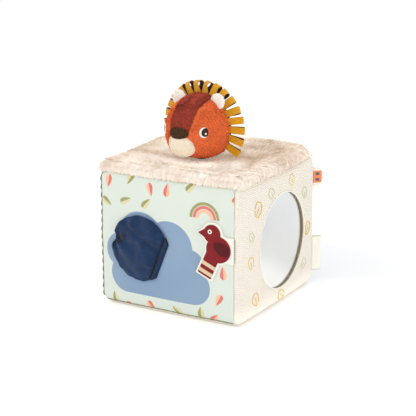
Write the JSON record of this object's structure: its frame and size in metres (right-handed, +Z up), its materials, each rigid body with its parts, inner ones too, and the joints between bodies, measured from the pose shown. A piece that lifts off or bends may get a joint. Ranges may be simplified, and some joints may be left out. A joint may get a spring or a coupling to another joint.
{
  "type": "soft activity cube",
  "caption": "Soft cloth activity cube with a fur top, plush lion head with ribbon mane, baby mirror, lift-up flap and felt figure in the seam.",
  "frame": {"origin": "centre of the cube's flat base, on the surface it stands on", "axes": "+Z up; -Y faces out of the printed front with the flap; +X faces out of the mirror side"},
  "size_m": [0.1713, 0.1763, 0.2255],
  "materials": {
    "foam": "open-cell foam",
    "mint_print": "printed woven cotton",
    "cream_waffle": "ribbed waffle weave with embroidered outlines",
    "slate_cloth": "woven cotton",
    "backing_cloth": "knitted backing",
    "cream_fur": "long soft pile",
    "olive_cord": "twisted piping",
    "mirror": "clear acrylic with a mirrored back",
    "wadding": "polyester filling",
    "tape": "woven tape",
    "navy_velour": "fine velour",
    "flap_lining": "woven cotton",
    "crinkle_film": "thin crisp film",
    "ivory_felt": "felt",
    "burgundy_felt": "felt",
    "dark_felt": "felt",
    "beige_felt": "felt",
    "tag_cloth": "satin cloth",
    "label_cloth": "woven ribbon, left bare",
    "maroon_plush": "short plush",
    "brow_plush": "short plush",
    "orange_plush": "short plush",
    "cream_plush": "short plush",
    "nose_plush": "short plush",
    "ear_plush": "short plush",
    "eye_thread": "satin stitch",
    "rattle_plastic": "moulded",
    "bead_plastic": "moulded",
    "mustard_ribbon": "woven ribbon, dark inside"
  },
  "bodies": {
    "cube": {"foam_core": "foam", "front_panel": "mint_print", "right_panel": "cream_waffle", "back_panel": "slate_cloth", "left_panel": "cream_waffle", "bottom_panel": "cream_waffle", "top_backing": "backing_cloth", "top_pile": "cream_fur", "front_piping": "olive_cord", "mirror_disc": "mirror", "mirror_pad": "wadding", "mirror_rim": "tape", "flap_hem": "navy_velour"},
    "flap": {"flap_lining": "flap_lining", "flap_film": "crinkle_film", "flap_face": "navy_velour"},
    "figure": {"figure_back": "ivory_felt", "figure_body": "burgundy_felt", "figure_wing": "dark_felt", "figure_tail": "beige_felt"},
    "tag": {"seam_tag": "tag_cloth"},
    "label": {"seam_label": "label_cloth"},
    "neck": {"neck_collar": "maroon_plush"},
    "head": {"head_back": "maroon_plush", "brow_patch": "brow_plush", "left_cheek": "orange_plush", "right_cheek": "orange_plush", "muzzle": "cream_plush", "nose": "nose_plush", "left_ear": "ear_plush", "right_ear": "ear_plush", "left_eye": "eye_thread", "right_eye": "eye_thread", "stuffing_front": "wadding", "stuffing_back": "wadding", "rattle_case_front": "rattle_plastic", "rattle_case_back": "rattle_plastic", "rattle_beads": "bead_plastic", "mane_loop_01": "mustard_ribbon", "mane_loop_02": "mustard_ribbon", "mane_loop_03": "mustard_ribbon", "mane_loop_04": "mustard_ribbon", "mane_loop_05": "mustard_ribbon", "mane_loop_06": "mustard_ribbon", "mane_loop_07": "mustard_ribbon", "mane_loop_08": "mustard_ribbon", "mane_loop_09": "mustard_ribbon", "mane_loop_10": "mustard_ribbon", "mane_loop_11": "mustard_ribbon", "mane_loop_12": "mustard_ribbon", "mane_loop_13": "mustard_ribbon", "mane_loop_14": "mustard_ribbon", "mane_loop_15": "mustard_ribbon", "mane_loop_16": "mustard_ribbon", "mane_loop_17": "mustard_ribbon", "mane_loop_18": "mustard_ribbon"}
  },
  "joints": [
    {"name": "flap_lift", "type": "hinge", "parent": "cube", "child": "flap", "pos_m": [-0.01003, -0.08569, 0.05813], "axis": [0.3746, 0, 0.9272], "range_deg": [0, 110], "stiffness_Nm_per_rad": 0.002},
    {"name": "figure_swing", "type": "hinge", "parent": "cube", "child": "figure", "pos_m": [0.0735, -0.08257, 0.078], "axis": [0, 0, 1], "range_deg": [0, 120], "stiffness_Nm_per_rad": 0.001},
    {"name": "tag_bend", "type": "hinge", "parent": "cube", "child": "tag", "pos_m": [0.07967, 0.07917, 0.117], "axis": [0, 0, 1], "range_deg": [-60, 60], "stiffness_Nm_per_rad": 0.0003},
    {"name": "label_bend", "type": "hinge", "parent": "cube", "child": "label", "pos_m": [0.07974, 0.07924, 0.034], "axis": [0, 0, 1], "range_deg": [-60, 60], "stiffness_Nm_per_rad": 0.0003},
    {"name": "head_turn", "type": "hinge", "parent": "cube", "child": "neck", "pos_m": [0, -0.012, 0.146], "axis": [0, 0, 1], "range_deg": [-35, 35], "stiffness_Nm_per_rad": 0.05},
    {"name": "head_nod", "type": "hinge", "parent": "neck", "child": "head", "pos_m": [0, -0.012, 0.149], "axis": [-1, 0, 0], "range_deg": [0, 20], "stiffness_Nm_per_rad": 0.02}
  ]
}
